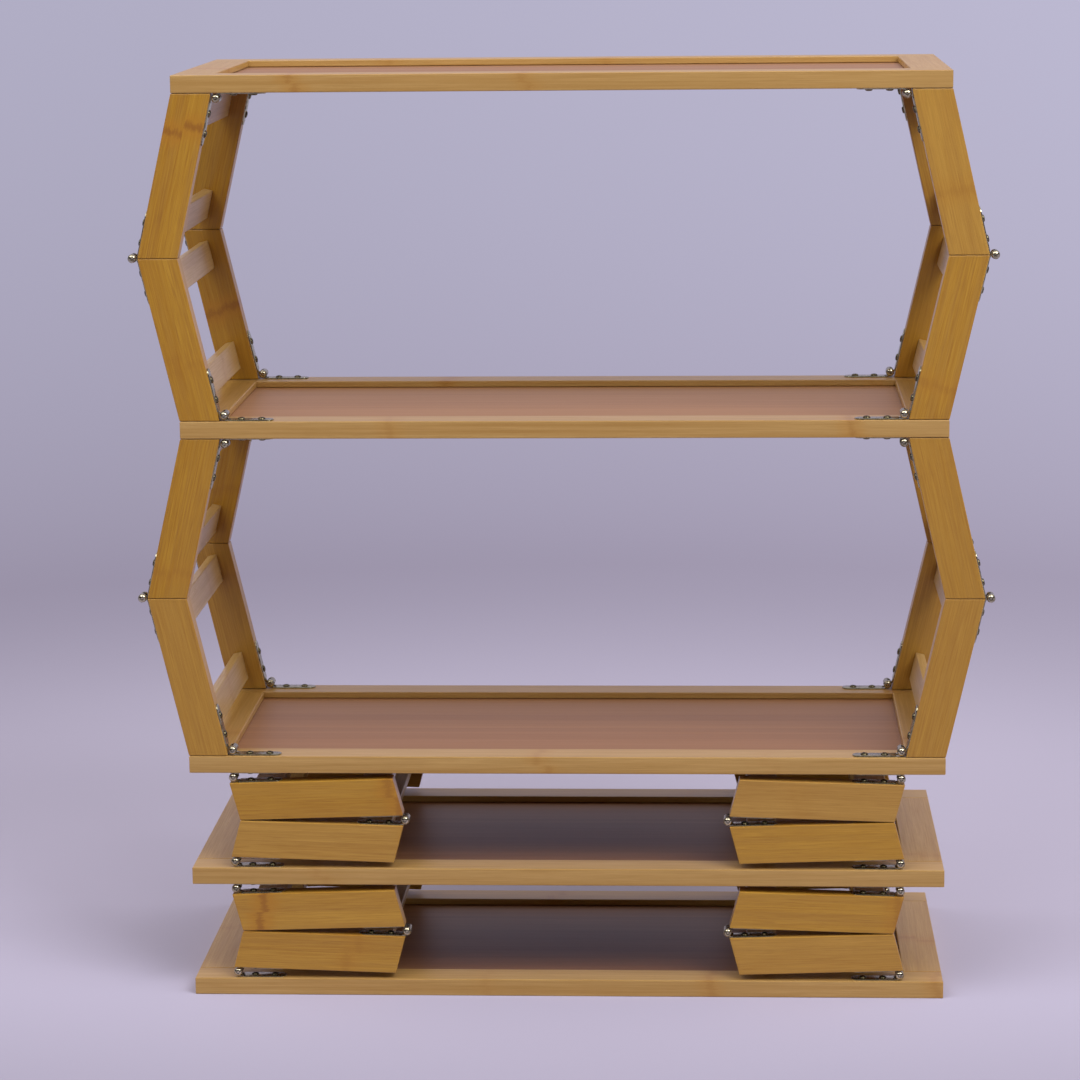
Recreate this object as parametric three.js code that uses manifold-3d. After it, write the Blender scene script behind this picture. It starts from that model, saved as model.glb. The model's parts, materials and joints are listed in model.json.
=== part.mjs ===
// Folding bookstand rack of five bamboo tray shelves.
// Between two shelves stands a pair of knee-jointed side frames. Pushed in at the knee, the
// frames pass their dead centre and fold flat between the shelves, inside the width of the rack.
// Millimetres, +Z up, X across the rack, +Y to the back. The origin is under the middle of the
// lowest shelf, on the floor.

import * as THREE from 'three';
import { mergeVertices } from 'three/addons/utils/BufferGeometryUtils.js';
import Module from 'manifold-3d';

const wasm = await Module();
wasm.setup();

// ---- driving dimensions ---------------------------------------------------------------------

// tray shelf: a ring of four rails with a thin panel held in a groove
const shelfWidth = 700;
const shelfDepth = 300;
const shelfThickness = 16;
const longRailWidth = 32;
const endRailWidth = 36;
const panelThickness = 5;
const panelRecess = 6.5; // rim above the panel
const grooveDepth = 6;

// side frame: two stiles joined by two slats
const openGap = 298; // clear height between two shelves with the tier open
const openTilt = THREE.MathUtils.degToRad(13); // lean of an open stile, and its mitre
const stileWidth = 35.5;
const stileThickness = 18;
const stileInset = 0.5; // step back from the front and back faces of the shelf
const slatWidth = 28;
const slatThickness = 9;
const slatSetback = 14.5; // from the inner face of the stile to the slat
const slatEndDistance = 11; // from the mitre to the slat, along the stile
const slatTenon = 6;

// strap hinge: two leaves, three knuckles and a pin
const pivotOffset = 5; // from the faces that the leaves lie on to the pin's axis
const hingeWidth = 13;
const leafLength = 45; // from the pin's axis
const leafThickness = 1.6;
const leafCornerRadius = 4;
const leafStart = 3.3; // from the pin's axis to the full width of the leaf
const neckStart = 2.2; // from the pin's axis to where the knuckle's curl meets the face
const knuckleRadius = 4;
const middleKnuckleLength = 5;
const pinRadius = 1.9;

// clearances
const seatGap = 0.3; // between a piece and what it stands or lies on
const leafBed = 0.2; // a frame's leaves are let into its stiles by this much
const knuckleGap = 0.35; // between neighbouring knuckles, along the pin
const boreClearance = 0.4; // between the pin and the flats of its bore
const stopGap = 0.3; // between the corners that meet when a tier is folded

// facets of the round forms
const knuckleSides = 8;
const pinSides = 6;
const cornerSteps = 1;

// lowest tier first
const tierStates = ['folded', 'folded', 'open', 'open'];

// ---- materials ------------------------------------------------------------------------------

const bamboo = new THREE.MeshStandardMaterial({ color: 0xcfa05a, roughness: 0.5, metalness: 0 });
const brownPanel = new THREE.MeshStandardMaterial({ color: 0x9c7a5f, roughness: 0.4, metalness: 0 });
const antiqueBrass = new THREE.MeshStandardMaterial({ color: 0x8a8560, roughness: 0.35, metalness: 1 });

// ---- solids ---------------------------------------------------------------------------------

function solid(geometry) {
  geometry.deleteAttribute('normal');
  geometry.deleteAttribute('uv');
  const merged = mergeVertices(geometry, 1e-5);
  return new wasm.Manifold(new wasm.Mesh({
    numProp: 3,
    vertProperties: new Float32Array(merged.attributes.position.array),
    triVerts: new Uint32Array(merged.index.array),
  }));
}

function named(name, body, material) {
  const { vertProperties, triVerts } = body.getMesh();
  const geometry = new THREE.BufferGeometry();
  geometry.setAttribute('position', new THREE.BufferAttribute(new Float32Array(vertProperties), 3));
  geometry.setIndex(new THREE.BufferAttribute(new Uint32Array(triVerts), 1));
  geometry.computeVertexNormals();
  const mesh = new THREE.Mesh(geometry, material);
  mesh.name = name;
  return mesh;
}

const join = (solids) => solids.reduce((whole, piece) => whole.add(piece));

// an outline of [x, z] points, drawn out along Y
function prism(outline, yStart, yEnd, bore) {
  const toVector = ([x, z]) => new THREE.Vector2(x, z);
  const shape = new THREE.Shape(outline.map(toVector));
  if (bore) shape.holes.push(new THREE.Path(bore.map(toVector)));
  const geometry = new THREE.ExtrudeGeometry(shape, { depth: yEnd - yStart, bevelEnabled: false });
  geometry.rotateX(Math.PI / 2);
  geometry.translate(0, yEnd, 0);
  return solid(geometry);
}

function block(width, depth, height, x, y, zBottom) {
  const geometry = new THREE.BoxGeometry(width, depth, height);
  geometry.translate(x, y, zBottom + height / 2);
  return solid(geometry);
}

function arc(radius, startAngle, endAngle, steps) {
  const points = [];
  for (let i = 0; i <= steps; i += 1) {
    const angle = startAngle + ((endAngle - startAngle) * i) / steps;
    points.push([radius * Math.cos(angle), radius * Math.sin(angle)]);
  }
  return points;
}

const ring = (radius, sides) => arc(radius, 0, 2 * Math.PI, sides).slice(1);

// ---- linkage --------------------------------------------------------------------------------
// One side of an open tier, drawn for its lower left frame from the pivot at the frame's foot:
// "along" runs up the leaning stile from that pivot, "depth" runs out from its inner face.

const sinTilt = Math.sin(openTilt);
const cosTilt = Math.cos(openTilt);
const halfGap = openGap / 2;

function stilePoint(along, depth) {
  const out = pivotOffset + depth;
  return [-out * cosTilt - along * sinTilt, along * cosTilt - out * sinTilt];
}

// how far up the stile a level cut at height z meets the line at this depth
const alongAtHeight = (z, depth) => (z + (pivotOffset + depth) * sinTilt) / cosTilt;

const footHeight = seatGap - pivotOffset;
const kneeHeight = halfGap - pivotOffset - seatGap / 2;

// from the inner lower corner of the stile to the foot pivot, and from there to the knee pivot
const footPivotInset = (pivotOffset * (1 - sinTilt)) / cosTilt;
const kneeOut = (stileWidth + pivotOffset) / cosTilt + halfGap * Math.tan(openTilt) + footPivotInset;
const knee = new THREE.Vector2(-kneeOut, halfGap - pivotOffset);

// the fold ends when the outer faces of the two frames meet at the shelf end of the stiles
const faceLength = halfGap / cosTilt + pivotOffset * Math.tan(openTilt);
const faceReach = Math.hypot(faceLength, pivotOffset);
const foldPastLevel = Math.atan2(pivotOffset, faceLength) - Math.asin(stopGap / 2 / faceReach);
const foldAngle = Math.PI / 2 + openTilt + foldPastLevel;

const footPivotX = shelfWidth / 2 - stileWidth / cosTilt - footPivotInset;

// turned about +Y, as the groups that carry the frames are
const turned = (point, angle) => point.clone().rotateAround(new THREE.Vector2(), -angle);

function gapAt(angle) {
  return 2 * (turned(knee, angle).y + pivotOffset);
}

// ---- strap hinge ----------------------------------------------------------------------------
// A leaf is drawn from its pin: u runs along the leaf, v stands off the face that it lies on.

const stileCentreY = shelfDepth / 2 - stileInset - stileThickness / 2;
const endKnuckleLength = (hingeWidth - middleKnuckleLength) / 2 - knuckleGap;
const boreRadius = (pinRadius + boreClearance) / Math.cos(Math.PI / pinSides);

function knuckleOutline(seat) {
  const bottom = seat - pivotOffset;
  const top = bottom + leafThickness;
  const startAngle = Math.asin(Math.max(top, -knuckleRadius) / knuckleRadius);
  const curl = arc(knuckleRadius, startAngle, 1.5 * Math.PI, knuckleSides);
  const tailEnd = leafStart + leafThickness;
  return [...curl, [neckStart, bottom], [tailEnd, bottom], [tailEnd, top]];
}

function leafPlan() {
  const half = hingeWidth / 2;
  const r = leafCornerRadius;
  const corner = arc(r, 0, Math.PI / 2, cornerSteps);
  const far = corner.map(([u, w]) => [leafLength - r + u, half - r + w]);
  const near = far.map(([u, w]) => [u, -w]).reverse();
  return [[leafStart, -half], ...near, ...far, [leafStart, half]];
}

// places u, v as given by the two directions in X and Z, from the pin at [x, z]
function leaf({ pin, u, v, y, seat, knuckles, hasPin }) {
  const place = ([a, b]) => [pin[0] + a * u[0] + b * v[0], pin[1] + a * u[1] + b * v[1]];
  const half = hingeWidth / 2;
  const middle = middleKnuckleLength / 2;
  const outline = knuckleOutline(seat).map(place);
  const round = (radius) => ring(radius, pinSides).map(([a, b]) => [pin[0] + a, pin[1] + b]);

  const plan = new THREE.Shape(leafPlan().map(([a, w]) => new THREE.Vector2(a, w)));
  const strap = new THREE.ExtrudeGeometry(plan, { depth: leafThickness, bevelEnabled: false });
  strap.translate(0, 0, seat - pivotOffset);
  const uAxis = new THREE.Vector3(u[0], 0, u[1]);
  const vAxis = new THREE.Vector3(v[0], 0, v[1]);
  const yAxis = vAxis.clone().cross(uAxis);
  strap.applyMatrix4(new THREE.Matrix4().makeBasis(uAxis, yAxis, vAxis));
  strap.translate(pin[0], y, pin[1]);

  const pieces = [solid(strap)];
  if (knuckles === 'middle') {
    pieces.push(prism(outline, y - middle, y + middle, round(boreRadius)));
  } else {
    pieces.push(prism(outline, y - half, y - half + endKnuckleLength));
    pieces.push(prism(outline, y + half - endKnuckleLength, y + half));
  }
  if (hasPin) pieces.push(prism(round(pinRadius), y - half, y + half));
  return join(pieces);
}

// ---- side frame -----------------------------------------------------------------------------
// side is 1 on the left and -1 on the right, level is 1 for a lower and -1 for an upper frame.
// The origin is the frame's pivot at its shelf. Its hinge leaves are screwed to the stiles.

function sideFrame(name, side, level) {
  const flip = ([x, z]) => [side * x, level * z];
  const stileOutline = [
    stilePoint(alongAtHeight(footHeight, 0), 0),
    stilePoint(alongAtHeight(kneeHeight, 0), 0),
    stilePoint(alongAtHeight(kneeHeight, stileWidth), stileWidth),
    stilePoint(alongAtHeight(footHeight, stileWidth), stileWidth),
  ].map(flip);

  const slatOutline = (start, end) => [
    stilePoint(start, slatSetback),
    stilePoint(end, slatSetback),
    stilePoint(end, slatSetback + slatThickness),
    stilePoint(start, slatSetback + slatThickness),
  ].map(flip);
  const footSlat = alongAtHeight(footHeight, slatSetback) + slatEndDistance;
  const kneeSlat = alongAtHeight(kneeHeight, slatSetback) - slatEndDistance;
  const slatEnd = stileCentreY - stileThickness / 2 + slatTenon;

  const inward = flip([cosTilt, sinTilt]);
  const outward = inward.map((value) => -value);
  const up = flip([-sinTilt, cosTilt]);
  const down = up.map((value) => -value);

  const pieces = [
    prism(slatOutline(footSlat, footSlat + slatWidth), -slatEnd, slatEnd),
    prism(slatOutline(kneeSlat - slatWidth, kneeSlat), -slatEnd, slatEnd),
  ];
  for (const y of [-stileCentreY, stileCentreY]) {
    pieces.push(prism(stileOutline, y - stileThickness / 2, y + stileThickness / 2));
    const atShelf = { pin: [0, 0], u: up, v: inward, knuckles: 'middle' };
    const kneeHalf = level > 0 ? { knuckles: 'ends', hasPin: true } : { knuckles: 'middle' };
    const atKnee = { pin: flip([knee.x, knee.y]), u: down, v: outward, ...kneeHalf };
    pieces.push(leaf({ ...atShelf, y, seat: -leafBed }), leaf({ ...atKnee, y, seat: -leafBed }));
  }
  return named(name, join(pieces), bamboo);
}

// ---- tray shelf -----------------------------------------------------------------------------

function shelfFrame(name) {
  const trayWidth = shelfWidth - 2 * endRailWidth;
  const trayDepth = shelfDepth - 2 * longRailWidth;
  const panelBottom = shelfThickness - panelRecess - panelThickness;
  const through = shelfThickness + 2;
  const grooveHeight = panelThickness + 2 * seatGap;
  const board = block(shelfWidth, shelfDepth, shelfThickness, 0, 0, 0);
  const window = block(trayWidth, trayDepth, through, 0, 0, -1);
  const groove = block(
    trayWidth + 2 * grooveDepth, trayDepth + 2 * grooveDepth, grooveHeight,
    0, 0, panelBottom - seatGap,
  );
  return named(name, board.subtract(window).subtract(groove), bamboo);
}

function shelfPanel(name) {
  const reach = 2 * (grooveDepth - seatGap);
  const width = shelfWidth - 2 * endRailWidth + reach;
  const depth = shelfDepth - 2 * longRailWidth + reach;
  const bottom = shelfThickness - panelRecess - panelThickness;
  return named(name, block(width, depth, panelThickness, 0, 0, bottom), brownPanel);
}

function shelf(number) {
  const group = new THREE.Group();
  group.add(shelfFrame(`shelf_${number}_frame`), shelfPanel(`shelf_${number}_panel`));
  return group;
}

// leaf on a shelf, with the pin that the frame's knuckle turns on, drawn from the pin's axis
function shelfLeaf(name, side, level, y) {
  const body = leaf({
    pin: [0, 0], u: [side, 0], v: [0, level], y, seat: seatGap, knuckles: 'ends', hasPin: true,
  });
  return named(name, body, antiqueBrass);
}

// ---- tiers ----------------------------------------------------------------------------------

const sides = { left: 1, right: -1 };
const rows = { front: -1, back: 1 };

function tier(number, angle) {
  const group = new THREE.Group();
  const gap = gapAt(angle);
  for (const [sideName, side] of Object.entries(sides)) {
    const levels = [['foot', 'lower', 1, pivotOffset], ['head', 'upper', -1, gap - pivotOffset]];
    for (const [end, place, level, z] of levels) {
      const pivot = new THREE.Group();
      pivot.position.set(-side * footPivotX, 0, z);
      const swing = new THREE.Group();
      swing.rotation.y = side * level * angle;
      swing.add(sideFrame(`tier_${number}_${place}_${sideName}_frame`, side, level));
      pivot.add(swing);
      for (const [rowName, row] of Object.entries(rows)) {
        const name = `tier_${number}_${end}_${sideName}_${rowName}_leaf`;
        pivot.add(shelfLeaf(name, side, level, row * stileCentreY));
      }
      group.add(pivot);
    }
  }
  return group;
}

// ---- assembly -------------------------------------------------------------------------------

const rack = new THREE.Group();
let floorZ = 0;
rack.add(shelf(1));
tierStates.forEach((state, index) => {
  const angle = state === 'folded' ? foldAngle : 0;
  const tierGroup = tier(index + 1, angle);
  tierGroup.position.z = floorZ + shelfThickness;
  floorZ += shelfThickness + gapAt(angle);
  const nextShelf = shelf(index + 2);
  nextShelf.position.z = floorZ;
  rack.add(tierGroup, nextShelf);
});

export default rack;
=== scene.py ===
# %% [markdown]
# # Folding bookstand rack
#
# Five tray shelves of laminated bamboo stand on knee-jointed side frames. Two tiers are open and
# two are folded flat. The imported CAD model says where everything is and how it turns. This script
# dresses it: boards with rounded edges and real grain, rolled strap hinges, pins and screws.
# Lengths are in metres, and small sizes are written as millimetres times mm.

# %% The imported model
import json
import math

import bmesh
import bpy
from mathutils import Matrix, Vector


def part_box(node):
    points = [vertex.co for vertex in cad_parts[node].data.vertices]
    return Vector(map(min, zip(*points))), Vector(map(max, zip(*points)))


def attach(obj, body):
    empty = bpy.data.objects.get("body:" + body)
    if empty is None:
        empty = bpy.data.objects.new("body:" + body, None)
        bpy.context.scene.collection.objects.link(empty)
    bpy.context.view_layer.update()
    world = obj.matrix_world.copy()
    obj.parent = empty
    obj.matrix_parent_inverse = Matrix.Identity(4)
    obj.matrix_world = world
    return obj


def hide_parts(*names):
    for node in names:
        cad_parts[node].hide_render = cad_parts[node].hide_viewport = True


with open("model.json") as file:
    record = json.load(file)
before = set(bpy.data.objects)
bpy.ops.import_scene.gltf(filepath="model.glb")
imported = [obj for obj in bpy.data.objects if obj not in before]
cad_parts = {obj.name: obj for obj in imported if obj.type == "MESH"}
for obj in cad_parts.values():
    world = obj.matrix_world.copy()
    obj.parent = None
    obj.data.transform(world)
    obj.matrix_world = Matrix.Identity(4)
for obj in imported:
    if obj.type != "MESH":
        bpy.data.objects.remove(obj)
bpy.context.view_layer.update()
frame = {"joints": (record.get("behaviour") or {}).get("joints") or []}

mm = 0.001
scene = bpy.context.scene
hinge_at = {joint["name"]: Vector(joint["pos_m"]) for joint in frame["joints"]}

# %% [markdown]
# ## Camera
#
# The photograph was taken with a long lens, 3.2 metres in front of the rack and a little above its
# top, looking slightly down and to the left. A long lens keeps the shelves nearly parallel, so the
# place and the three turns matter more than the focal length. They were solved from the edges of
# the shelves.

# %% Camera
lens = bpy.data.cameras.new("camera")
lens.sensor_width, lens.lens = 36, 118.26  # millimetres
camera = bpy.data.objects.new("camera", lens)
scene.collection.objects.link(camera)
scene.camera = camera

camera_place = (0.1443, -3.3342, 1.0209)
look_down, look_left, lean = 0.182, 0.052, 0.010  # radians
camera.matrix_world = (
    Matrix.Translation(camera_place)
    @ Matrix.Rotation(look_left, 4, "Z")
    @ Matrix.Rotation(math.pi / 2 - look_down, 4, "X")
    @ Matrix.Rotation(-lean, 4, "Z")
)
print("camera at", [round(value, 3) for value in camera.matrix_world.translation])

# %% [markdown]
# ## Node helpers
#
# Materials, the world and Geometry Nodes trees are all node trees, so one helper serves them all.
# It adds a node, sets its options, and fills its inputs with numbers or with links. Colours are
# written as the sRGB codes that the eye knows, and one function turns them into the linear values
# that shaders count with.

# %% Node helpers
def linear(code):
    channels = [int(code[start:start + 2], 16) / 255 for start in (1, 3, 5)]
    toe, power = 12.92, 2.4
    curve = [c / toe if c <= 0.04045 else ((c + 0.055) / 1.055) ** power for c in channels]
    return (*curve, 1.0)


def add(tree, kind, inputs=None, **options):
    node = tree.nodes.new(kind)
    for option, value in options.items():
        setattr(node, option, value)
    for key, value in (inputs or {}).items():
        source = value.outputs[0] if isinstance(value, bpy.types.Node) else value
        if isinstance(source, bpy.types.NodeSocket):
            tree.links.new(source, node.inputs[key])
        else:
            node.inputs[key].default_value = source
    return node


MIX_A, MIX_B, MIXED = 6, 7, 2  # the colour sockets of a Mix node
print("linear mid grey", round(linear("#808080")[0], 3))

# %% [markdown]
# ## Floor and light
#
# The rack stands on a sweep of lavender paper: pale round the rack, half shaded where the paper
# rises two metres behind it, and pale again further up, a little more on the right. A wide flat
# floor gives that picture from every side, with the light and shade of the sweep painted into its
# colour: a painted pool of light round the rack, a painted shaded band where the paper would rise,
# and painted light that is brighter on the right. Round the rack it is plain diffuse paper, which
# takes the soft shadow, with painted shade that makes it a little greyer in front, where the
# softboxes fall on it. Further off it turns into a glow with the same painted shade and light,
# which only the camera and mirrors see, so the backdrop throws no light on the rack.

# %% Floor
half_floor = 150.0
corners = ((-1, -1), (1, -1), (1, 1), (-1, 1))
floor_mesh = bpy.data.meshes.new("studio_floor")
floor_mesh.from_pydata(
    [(x * half_floor, y * half_floor, 0) for x, y in corners], [], [(0, 1, 2, 3)]
)
floor = bpy.data.objects.new("studio_floor", floor_mesh)
scene.collection.objects.link(floor)
print("floor of", 2 * half_floor, "m")

# %% Paper near the rack
paper = bpy.data.materials.new("lavender_paper")
paper.use_nodes = True
floor_mesh.materials.append(paper)
tree = paper.node_tree
tree.nodes.clear()
floor_place = add(tree, "ShaderNodeTexCoord").outputs["Object"]
to_right, to_back, _ = add(tree, "ShaderNodeSeparateXYZ", {0: floor_place}).outputs
away = add(tree, "ShaderNodeVectorMath", {0: floor_place}, operation="LENGTH").outputs["Value"]
# painted pool of light: the paper's colour darkens from 0.4 to 1.8 m away from the rack
shade = add(tree, "ShaderNodeMapRange", {"Value": away, "From Min": 0.4, "From Max": 1.8})
near_paper = add(
    tree, "ShaderNodeMix", {0: shade, MIX_A: linear("#beb7cf"), MIX_B: linear("#afa8be")},
    data_type="RGBA",
)
# painted shade: the paper in front of the rack is darkened against the softboxes' light
front = add(
    tree, "ShaderNodeMapRange",
    {"Value": to_back, "From Min": -0.75, "From Max": 0.15, "To Min": 0.6},
    interpolation_type="SMOOTHSTEP",
)
near_paper = add(
    tree, "ShaderNodeVectorMath", {0: near_paper.outputs[MIXED], "Scale": front}, operation="SCALE"
)
flat_paper = add(tree, "ShaderNodeBsdfDiffuse", {"Color": near_paper, "Roughness": 0.3})
print(paper.name, "is diffuse near the rack")

# %% Paper further off
nearness = add(tree, "ShaderNodeMath", {0: 1.0, 1: away}, operation="DIVIDE")
# painted shade of the sweep: the glow is darkest within two metres, where the paper would rise
height = add(tree, "ShaderNodeMapRange", {"Value": nearness, "From Min": 0.5, "From Max": 0.0})
far_paper = add(
    tree, "ShaderNodeMix", {0: height, MIX_A: linear("#9f97ad"), MIX_B: linear("#b9b6ce")},
    data_type="RGBA",
)
camera_distance = 3.0
around = add(tree, "ShaderNodeMath", {0: away, 1: camera_distance}, operation="ADD")
rightness = add(tree, "ShaderNodeMath", {0: to_right, 1: around}, operation="DIVIDE")
# painted light: the glow is brighter on the right of the rack and darker on its left
painted_side_light = add(
    tree, "ShaderNodeMapRange",
    {"Value": rightness, "From Min": -0.15, "From Max": 0.15, "To Min": 0.92, "To Max": 1.08},
)
glow = add(tree, "ShaderNodeEmission", {"Color": far_paper.outputs[MIXED], "Strength": painted_side_light})
ray = add(tree, "ShaderNodeLightPath")
seen = add(
    tree, "ShaderNodeMath",
    {0: ray.outputs["Is Camera Ray"], 1: ray.outputs["Is Transmission Ray"]}, operation="MAXIMUM",
)
seen = add(tree, "ShaderNodeMath", {0: seen, 1: ray.outputs["Is Glossy Ray"]}, operation="MAXIMUM")
rise = add(
    tree, "ShaderNodeMapRange", {"Value": away, "From Min": 0.7, "From Max": 2.2},
    interpolation_type="SMOOTHSTEP",
)
rise = add(tree, "ShaderNodeMath", {0: rise, 1: seen}, operation="MULTIPLY")
sweep_of_paper = add(tree, "ShaderNodeMixShader", {0: rise, 1: flat_paper, 2: glow})
add(tree, "ShaderNodeOutputMaterial", {"Surface": sweep_of_paper})
print(paper.name, "has", len(tree.nodes), "nodes")

# %% [markdown]
# The camera sees the paper's lavender all round. The light is another matter: two large softboxes
# high in front, the stronger one on the right, pale diffusers straight overhead, and pale walls
# left and right. Nothing shines in from the front at the height of the rack itself, so the narrow
# spaces inside the folded tiers stay dark. Metal sees a dim room below the diffusers, with the
# paper behind the rack, which draws a dark band between two bright ones across every dome.

# %% World
world = bpy.data.worlds.new("studio")
scene.world = world
world.use_nodes = True
sky = world.node_tree
sky.nodes.clear()
way = add(sky, "ShaderNodeTexCoord").outputs["Generated"]
sideways, backwards, upwards = add(sky, "ShaderNodeSeparateXYZ", {0: way}).outputs
behind = add(
    sky, "ShaderNodeMapRange", {"Value": backwards, "From Min": 0.1, "From Max": 0.6},
    interpolation_type="SMOOTHSTEP",
)
overhead = add(
    sky, "ShaderNodeMapRange", {"Value": upwards, "From Min": 0.4, "From Max": 0.7},
    interpolation_type="SMOOTHSTEP",
)
room = add(
    sky, "ShaderNodeMix", {0: behind, MIX_A: linear("#1e1b1e"), MIX_B: linear("#b3aec6")},
    data_type="RGBA",
)
room = add(
    sky, "ShaderNodeMix", {0: overhead, MIX_A: room.outputs[MIXED], MIX_B: linear("#e6e4e8")},
    data_type="RGBA",
)
print(world.name, "is what mirrors see")

# %% Light from the walls and the diffusers
sideways = add(sky, "ShaderNodeMath", {0: sideways}, operation="ABSOLUTE")
walls = add(
    sky, "ShaderNodeMapRange",
    {"Value": sideways, "From Min": 0.5, "From Max": 1.0, "To Min": 0.02, "To Max": 2.0},
    interpolation_type="SMOOTHSTEP",
)
diffusers = add(
    sky, "ShaderNodeMapRange",
    {"Value": upwards, "From Min": 0.3, "From Max": 0.95, "To Min": 0.0, "To Max": 0.7},
    interpolation_type="SMOOTHSTEP",
)
fill = add(sky, "ShaderNodeMath", {0: diffusers, 1: walls}, operation="ADD")
ray = add(sky, "ShaderNodeLightPath")
straight = add(
    sky, "ShaderNodeMath",
    {0: ray.outputs["Is Camera Ray"], 1: ray.outputs["Is Transmission Ray"]}, operation="MAXIMUM",
)
light = add(sky, "ShaderNodeBackground", {"Color": linear("#fffdfa"), "Strength": fill})
backdrop = add(sky, "ShaderNodeBackground", {"Color": linear("#b3aec6")})
mirrored = add(sky, "ShaderNodeBackground", {"Color": room.outputs[MIXED]})
air = add(sky, "ShaderNodeMixShader", {0: straight, 1: light, 2: backdrop})
air = add(sky, "ShaderNodeMixShader", {0: ray.outputs["Is Glossy Ray"], 1: air, 2: mirrored})
add(sky, "ShaderNodeOutputWorld", {"Surface": air})
scene.view_settings.view_transform = "Standard"
print(world.name, "has", len(sky.nodes), "nodes")

# %% Softboxes
rack_middle = Vector((0, 0, 0.45))
LAMP_DISTANCE = 3.5


def softbox(name, up_from_floor, round_to_right, power, size):
    lamp = bpy.data.lights.new(name, "AREA")
    lamp.energy, lamp.shape, lamp.size = power, "SQUARE", size
    holder = bpy.data.objects.new(name, lamp)
    scene.collection.objects.link(holder)
    height, turned = math.radians(up_from_floor), math.radians(round_to_right)
    flat = math.cos(height)
    toward = Vector((flat * math.sin(turned), -flat * math.cos(turned), math.sin(height)))
    holder.matrix_world = (
        Matrix.Translation(rack_middle + LAMP_DISTANCE * toward)
        @ toward.to_track_quat("Z", "Y").to_matrix().to_4x4()
    )


softbox("right_softbox", 45, 38, 76, 1.9)
softbox("left_softbox", 50, -38, 41, 2.2)

# %% [markdown]
# ## Laminated bamboo
#
# The boards are glued up from bamboo strips about 18 mm wide and 8 mm thick, planed, sanded and
# sealed with a thin satin lacquer. The eye sees straight fibres, strips of slightly different
# tones, and here and there the brown mark of a node, as wide as its strip. The rails and slats are
# pale straw, and the stiles are a deeper honey. Every board carries its own coordinates in an
# attribute named grain: metres along, across and through the board. The attribute board holds a
# random number, so that no two boards are cut from the same piece, and honey says how deep its
# colour is: 0 for straw, 1 for deep honey, and less than 0 for the slats, the palest boards, whose
# paleness is partly their own tone and partly painted light for the light and sheen they catch.
#
# Wood could be drawn with a wave texture, but bamboo has no rings. Stretched noise gives fibres,
# and white noise on whole numbers gives each strip its own tone.

# %% Laminated bamboo
STRIP, LAYER = 17.85 * mm, 8.1 * mm
FIBRE, VESSEL, BAND = 1.2 * mm, 0.8 * mm, 5 * mm  # real fibres are finer than the render can show
LONGER_THAN_ANY_BOARD = 9.0
FAR_APART = (40, 40, 40)
LACQUER = {"IOR": 1.5}


def new_material(name, shader_inputs):
    material = bpy.data.materials.new(name)
    material.use_nodes = True
    tree = material.node_tree
    tree.nodes.clear()
    shader = add(tree, "ShaderNodeBsdfPrincipled", shader_inputs)
    add(tree, "ShaderNodeOutputMaterial", {"Surface": shader})
    return material, tree, shader


def stretched_noise(tree, grain, shift, length, width, detail):
    scaled = add(
        tree, "ShaderNodeVectorMath", {0: grain, 1: (1 / length, 1 / width, 1 / width)},
        operation="MULTIPLY",
    )
    moved = add(tree, "ShaderNodeVectorMath", {0: scaled, 1: shift}, operation="ADD")
    return add(
        tree, "ShaderNodeTexNoise",
        {"Vector": moved, "Scale": 1.0, "Detail": detail, "Roughness": 0.6},
    )


bamboo, tree, shader = new_material("satin_lacquered_bamboo", LACQUER)
grain = add(tree, "ShaderNodeAttribute", attribute_name="grain").outputs["Vector"]
board = add(tree, "ShaderNodeAttribute", attribute_name="board").outputs["Fac"]
honey = add(tree, "ShaderNodeAttribute", attribute_name="honey").outputs["Fac"]
end = add(tree, "ShaderNodeAttribute", attribute_name="end").outputs["Fac"]
along, across, through = add(tree, "ShaderNodeSeparateXYZ", {0: grain}).outputs

cells = add(
    tree, "ShaderNodeVectorMath", {0: grain, 1: (LONGER_THAN_ANY_BOARD, STRIP, LAYER)},
    operation="DIVIDE",
)
strip = add(tree, "ShaderNodeVectorMath", {0: cells}, operation="FLOOR")
luck = add(tree, "ShaderNodeTexWhiteNoise", {"Vector": strip, "W": board}, noise_dimensions="4D")
strip_tone = luck.outputs["Value"]
chance = add(tree, "ShaderNodeSeparateXYZ", {0: luck.outputs["Color"]}).outputs["X"]
shift = add(
    tree, "ShaderNodeVectorMath", {0: luck.outputs["Color"], 1: FAR_APART}, operation="MULTIPLY"
)
fibres = stretched_noise(tree, grain, shift, 60 * mm, FIBRE, 3)
vessels = stretched_noise(tree, grain, shift, 20 * mm, VESSEL, 1)
bands = stretched_noise(tree, grain, shift, 380 * mm, BAND, 2)
print("strips of", round(STRIP / mm, 2), "mm with fibres", round(FIBRE / mm, 2), "mm wide")

# %% [markdown]
# A node crosses a strip every 210 mm, a little further along on each strip of a board. It is a
# ragged brown line in a wider patch of deeper gold, strong in a few places and hardly there in
# most. The distance to the nearest node, roughened with noise, gives both, and white noise on the
# node's number gives its strength.

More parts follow.
